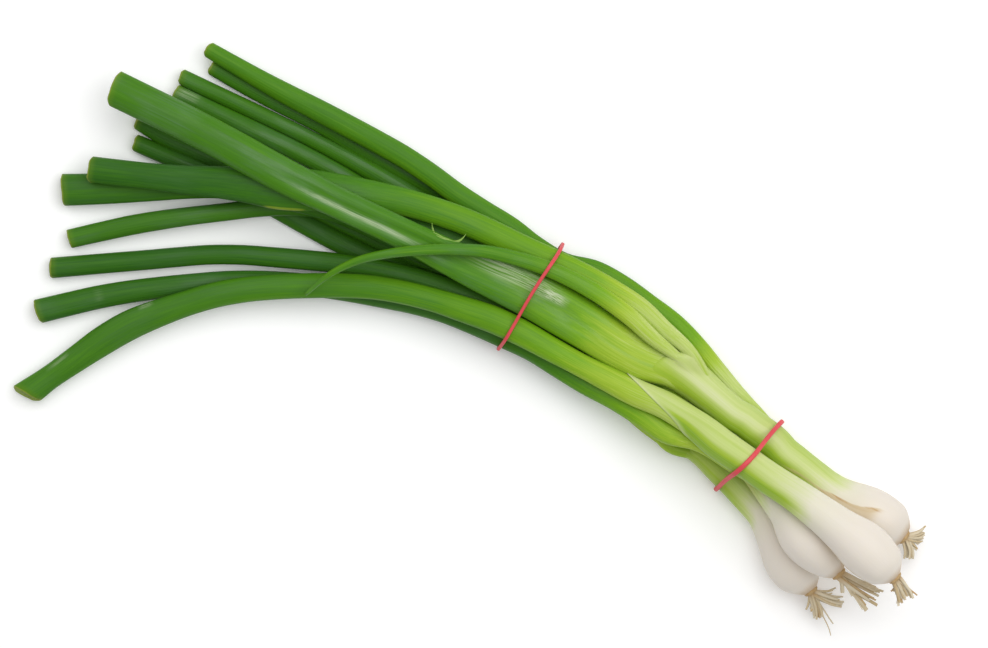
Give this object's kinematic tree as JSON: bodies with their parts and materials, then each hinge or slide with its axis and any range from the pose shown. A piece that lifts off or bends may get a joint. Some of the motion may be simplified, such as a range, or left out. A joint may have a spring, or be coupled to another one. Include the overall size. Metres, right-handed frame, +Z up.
{
  "type": "spring onion bunch",
  "caption": "Tied bunch of spring onions lying down: white bulbs with trimmed roots, pale stems and cut hollow green leaves held by two rubber bands.",
  "frame": {"origin": "under the middle of the bunch's bounding box, on the surface that it lies on", "axes": "+X along the bunch towards the roots, +Y across it, +Z up from the surface"},
  "size_m": [0.3456, 0.1452, 0.047],
  "materials": {
    "onion_stem": "moist and satiny, white at the bulb and pale green at the mouth",
    "onion_leaf": "waxy green with fine ribs along the leaf",
    "onion_root": "dry straw",
    "rubber_band": "soft matt rubber"
  },
  "bodies": {
    "root": {"onion_a_bulb_and_stem": "onion_stem", "onion_b_bulb_and_stem": "onion_stem", "onion_c_bulb_and_stem": "onion_stem", "onion_d_bulb_and_stem": "onion_stem", "onion_a_leaf_1": "onion_leaf", "onion_a_leaf_2": "onion_leaf", "onion_a_leaf_3": "onion_leaf", "onion_a_leaf_4": "onion_leaf", "onion_b_leaf_1": "onion_leaf", "onion_b_leaf_2": "onion_leaf", "onion_b_leaf_3": "onion_leaf", "onion_c_leaf_1": "onion_leaf", "onion_c_leaf_2": "onion_leaf", "onion_d_leaf_1": "onion_leaf", "onion_d_leaf_2": "onion_leaf", "onion_d_leaf_3": "onion_leaf", "onion_d_leaf_4": "onion_leaf", "onion_d_leaf_5": "onion_leaf", "onion_a_roots": "onion_root", "onion_b_roots": "onion_root", "onion_c_roots": "onion_root", "onion_d_roots": "onion_root", "rubber_band_at_leaves": "rubber_band", "rubber_band_at_stems": "rubber_band"}
  },
  "joints": []
}
